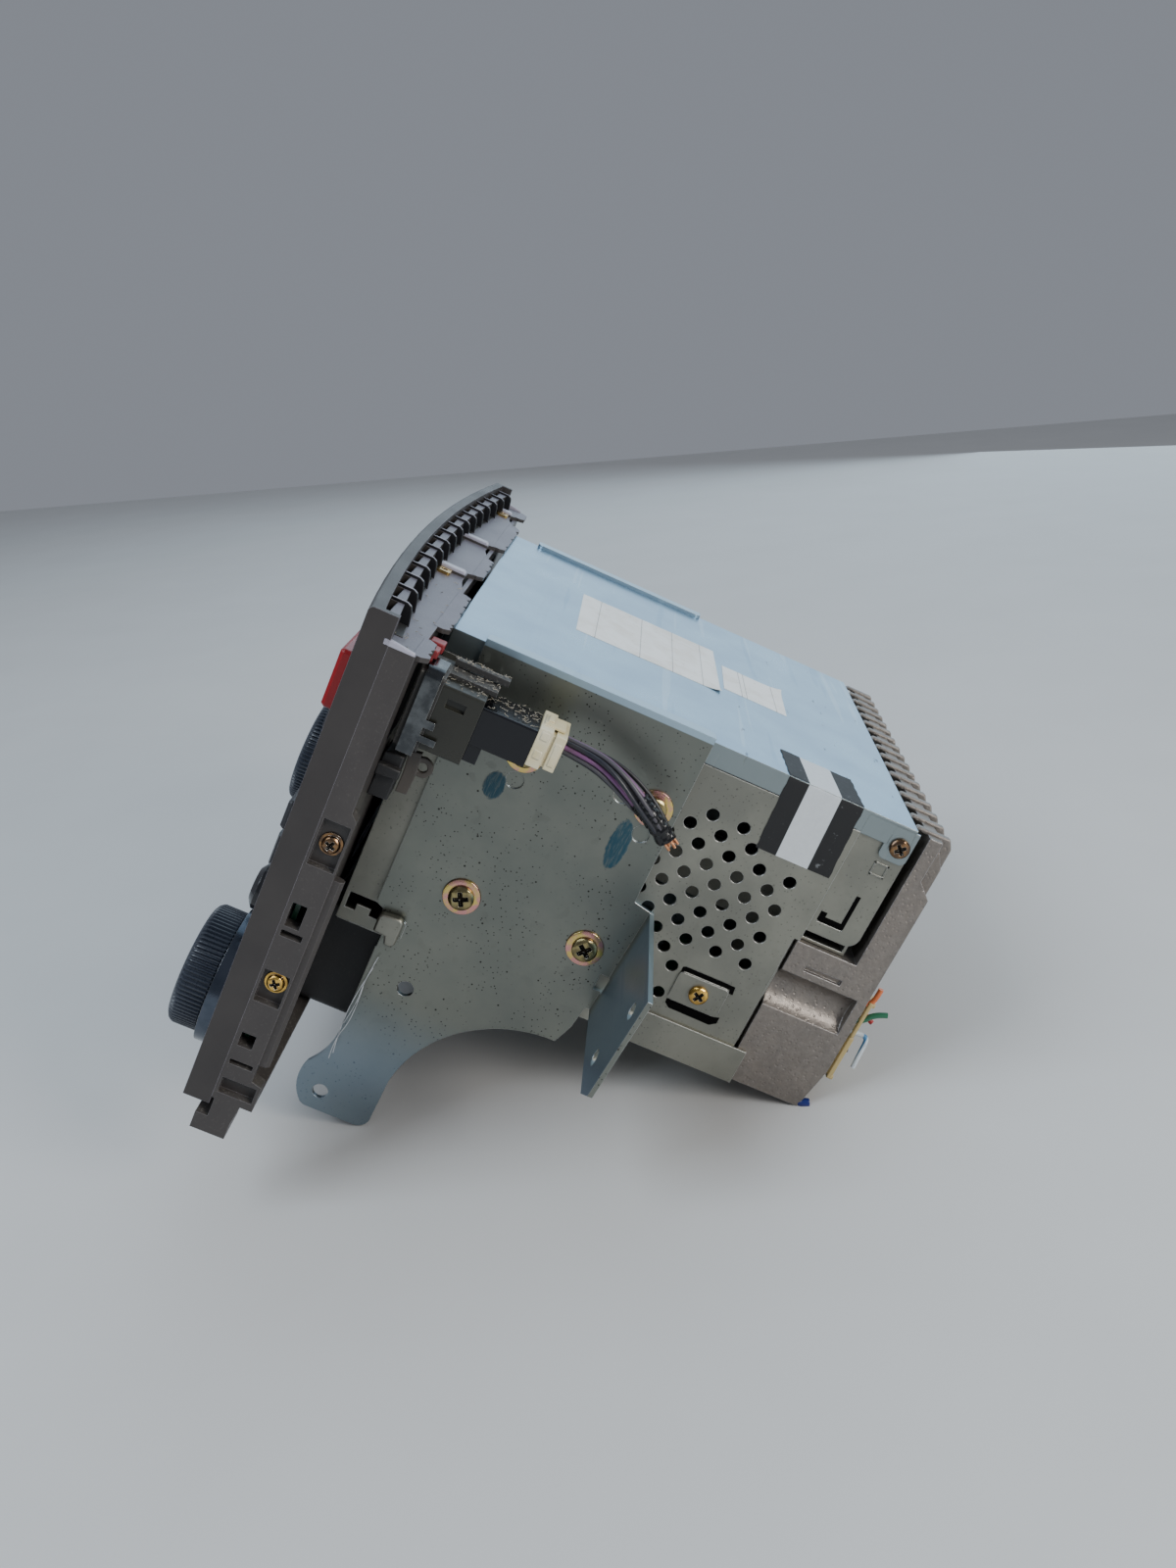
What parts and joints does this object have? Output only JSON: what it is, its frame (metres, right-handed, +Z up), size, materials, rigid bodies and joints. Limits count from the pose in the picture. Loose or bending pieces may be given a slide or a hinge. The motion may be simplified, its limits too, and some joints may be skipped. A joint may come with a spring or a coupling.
{
  "type": "car cd player",
  "caption": "Dashboard car cd player: bowed wide fascia with knobs and buttons, sheet steel chassis, side brackets and a finned casting at the rear.",
  "frame": {"origin": "centre line of the chassis, half way up it, on the front wall where it meets the fascia's frame", "axes": "+X towards the side of the hazard switch, +Y rearwards into the dashboard, +Z up"},
  "size_m": [0.2972, 0.2247, 0.1903],
  "materials": {
    "zinc_sheet": "zinc plated sheet, dull",
    "cover_sheet": "zinc plated sheet, satin",
    "bracket_steel": "olive passivated zinc",
    "washer_steel": "yellow passivated",
    "copper_steel": "dark passivated",
    "screw_steel": "ground",
    "cast_alloy": "as cast",
    "cream_plastic": "moulded",
    "wire_cover": "extruded",
    "tape": "wound vinyl tape",
    "fascia_plastic": "fine grain",
    "frame_plastic": "moulded",
    "black_plastic": "moulded",
    "socket_plastic": "moulded",
    "olive_plastic": "moulded",
    "insert_brass": "turned",
    "window": "smoked",
    "display_glass": "smooth",
    "bright_trim": "plated",
    "knob_plastic": "fluted",
    "button_plastic": "fine grain",
    "dome_plastic": "polished",
    "red_plastic": "moulded",
    "circuit_board": "solder resist",
    "clip_steel": "spring steel",
    "roller_rubber": "moulded",
    "sled_metal": "die cast"
  },
  "bodies": {
    "housing": {"chassis_tray": "zinc_sheet", "side_panel_right": "zinc_sheet", "side_panel_left": "zinc_sheet", "top_cover": "cover_sheet", "bottom_cover": "zinc_sheet", "side_bracket_right": "bracket_steel", "side_bracket_left": "bracket_steel", "bracket_screws": "washer_steel", "cover_screws": "copper_steel", "rear_heatsink": "cast_alloy", "rear_connector": "cream_plastic", "rear_wires": "wire_cover", "front_panel": "fascia_plastic", "rear_frame": "frame_plastic", "face_screws": "copper_steel", "insert_clips": "insert_brass", "display_lens": "window", "climate_lens": "window", "display_module": "display_glass", "climate_display": "display_glass", "slot_guide": "black_plastic", "silver_trim": "bright_trim", "control_board": "circuit_board", "climate_housing": "black_plastic", "switch_housing": "olive_plastic", "switch_base": "black_plastic", "switch_socket": "socket_plastic", "switch_clip": "clip_steel", "harness_plug": "cream_plastic", "hazard_harness": "wire_cover", "harness_tape": "tape", "main_board": "circuit_board", "mechanism_frame": "zinc_sheet"},
    "volume_knob": {"volume_knob": "knob_plastic"},
    "climate_knob_right": {"climate_knob_right": "knob_plastic"},
    "climate_knob_left": {"climate_knob_left": "knob_plastic"},
    "slot_flap": {"slot_flap": "black_plastic"},
    "hazard_button": {"hazard_button": "red_plastic"},
    "clock_button": {"clock_button": "button_plastic"},
    "eject_button": {"eject_button": "button_plastic"},
    "load_button": {"load_button": "button_plastic"},
    "climate_button_1": {"climate_button_1": "button_plastic"},
    "climate_button_2": {"climate_button_2": "button_plastic"},
    "climate_button_3": {"climate_button_3": "button_plastic"},
    "climate_button_4": {"climate_button_4": "button_plastic"},
    "preset_button_1": {"preset_button_1": "button_plastic"},
    "preset_button_2": {"preset_button_2": "button_plastic"},
    "preset_button_3": {"preset_button_3": "button_plastic"},
    "preset_button_4": {"preset_button_4": "button_plastic"},
    "preset_button_5": {"preset_button_5": "button_plastic"},
    "preset_button_6": {"preset_button_6": "button_plastic"},
    "round_button_right": {"round_button_right": "dome_plastic"},
    "round_button_left": {"round_button_left": "dome_plastic"},
    "seek_rocker": {"seek_rocker": "button_plastic"},
    "source_rocker": {"source_rocker": "button_plastic"},
    "turntable": {"turntable": "black_plastic"},
    "feed_roller": {"feed_roller": "roller_rubber"},
    "laser_sled": {"laser_sled": "sled_metal"},
    "lead_screw": {"lead_screw": "screw_steel"}
  },
  "joints": [
    {"name": "volume_turn", "type": "hinge", "parent": "housing", "child": "volume_knob", "pos_m": [0, -0.03, -0.038], "axis": [0, -1, 0], "continuous": true},
    {"name": "climate_turn_right", "type": "hinge", "parent": "housing", "child": "climate_knob_right", "pos_m": [0.108, -0.027, -0.077], "axis": [0, -1, 0], "range_deg": [-135, 135]},
    {"name": "climate_turn_left", "type": "hinge", "parent": "housing", "child": "climate_knob_left", "pos_m": [-0.108, -0.027, -0.077], "axis": [0, -1, 0], "range_deg": [-135, 135]},
    {"name": "flap_swing", "type": "hinge", "parent": "housing", "child": "slot_flap", "pos_m": [0, -0.012, 0.0159], "axis": [1, 0, 0], "range_deg": [0, 75], "stiffness_Nm_per_rad": 0.002},
    {"name": "hazard_press", "type": "slide", "parent": "housing", "child": "hazard_button", "axis": [0, 1, 0], "range_m": [0, 0.0015], "stiffness_N_per_m": 600},
    {"name": "clock_press", "type": "slide", "parent": "housing", "child": "clock_button", "axis": [0, 1, 0], "range_m": [0, 0.0015], "stiffness_N_per_m": 600},
    {"name": "eject_press", "type": "slide", "parent": "housing", "child": "eject_button", "axis": [0, 1, 0], "range_m": [0, 0.0015], "stiffness_N_per_m": 600},
    {"name": "load_press", "type": "slide", "parent": "housing", "child": "load_button", "axis": [0, 1, 0], "range_m": [0, 0.0015], "stiffness_N_per_m": 600},
    {"name": "climate_press_1", "type": "slide", "parent": "housing", "child": "climate_button_1", "axis": [0, 1, 0], "range_m": [0, 0.0015], "stiffness_N_per_m": 600},
    {"name": "climate_press_2", "type": "slide", "parent": "housing", "child": "climate_button_2", "axis": [0, 1, 0], "range_m": [0, 0.0015], "stiffness_N_per_m": 600},
    {"name": "climate_press_3", "type": "slide", "parent": "housing", "child": "climate_button_3", "axis": [0, 1, 0], "range_m": [0, 0.0015], "stiffness_N_per_m": 600},
    {"name": "climate_press_4", "type": "slide", "parent": "housing", "child": "climate_button_4", "axis": [0, 1, 0], "range_m": [0, 0.0015], "stiffness_N_per_m": 600},
    {"name": "preset_press_1", "type": "slide", "parent": "housing", "child": "preset_button_1", "axis": [0, 1, 0], "range_m": [0, 0.0015], "stiffness_N_per_m": 600},
    {"name": "preset_press_2", "type": "slide", "parent": "housing", "child": "preset_button_2", "axis": [0, 1, 0], "range_m": [0, 0.0015], "stiffness_N_per_m": 600},
    {"name": "preset_press_3", "type": "slide", "parent": "housing", "child": "preset_button_3", "axis": [0, 1, 0], "range_m": [0, 0.0015], "stiffness_N_per_m": 600},
    {"name": "preset_press_4", "type": "slide", "parent": "housing", "child": "preset_button_4", "axis": [0, 1, 0], "range_m": [0, 0.0015], "stiffness_N_per_m": 600},
    {"name": "preset_press_5", "type": "slide", "parent": "housing", "child": "preset_button_5", "axis": [0, 1, 0], "range_m": [0, 0.0015], "stiffness_N_per_m": 600},
    {"name": "preset_press_6", "type": "slide", "parent": "housing", "child": "preset_button_6", "axis": [0, 1, 0], "range_m": [0, 0.0015], "stiffness_N_per_m": 600},
    {"name": "round_press_right", "type": "slide", "parent": "housing", "child": "round_button_right", "axis": [0, 1, 0], "range_m": [0, 0.0015], "stiffness_N_per_m": 600},
    {"name": "round_press_left", "type": "slide", "parent": "housing", "child": "round_button_left", "axis": [0, 1, 0], "range_m": [0, 0.0015], "stiffness_N_per_m": 600},
    {"name": "seek_tilt", "type": "hinge", "parent": "housing", "child": "seek_rocker", "pos_m": [0.072, -0.019, -0.036], "axis": [0, 0, 1], "range_deg": [-3, 3], "stiffness_Nm_per_rad": 0.4},
    {"name": "source_tilt", "type": "hinge", "parent": "housing", "child": "source_rocker", "pos_m": [-0.072, -0.019, -0.036], "axis": [0, 0, 1], "range_deg": [-3, 3], "stiffness_Nm_per_rad": 0.4},
    {"name": "spindle_turn", "type": "hinge", "parent": "housing", "child": "turntable", "pos_m": [0, 0.066, 0.008], "axis": [0, 0, 1], "continuous": true},
    {"name": "roller_turn", "type": "hinge", "parent": "housing", "child": "feed_roller", "pos_m": [0, 0.015, 0.0081], "axis": [1, 0, 0], "continuous": true},
    {"name": "sled_travel", "type": "slide", "parent": "housing", "child": "laser_sled", "axis": [0, 1, 0], "range_m": [0, 0.028]},
    {"name": "lead_screw_turn", "type": "hinge", "parent": "housing", "child": "lead_screw", "pos_m": [0.03, 0.1, 0.004], "axis": [0, 1, 0], "range_deg": [0, 1680.5]}
  ],
  "couplings": [
    {"joint": "lead_screw_turn", "follows": "sled_travel", "rad_per_m": 1047.2}
  ]
}
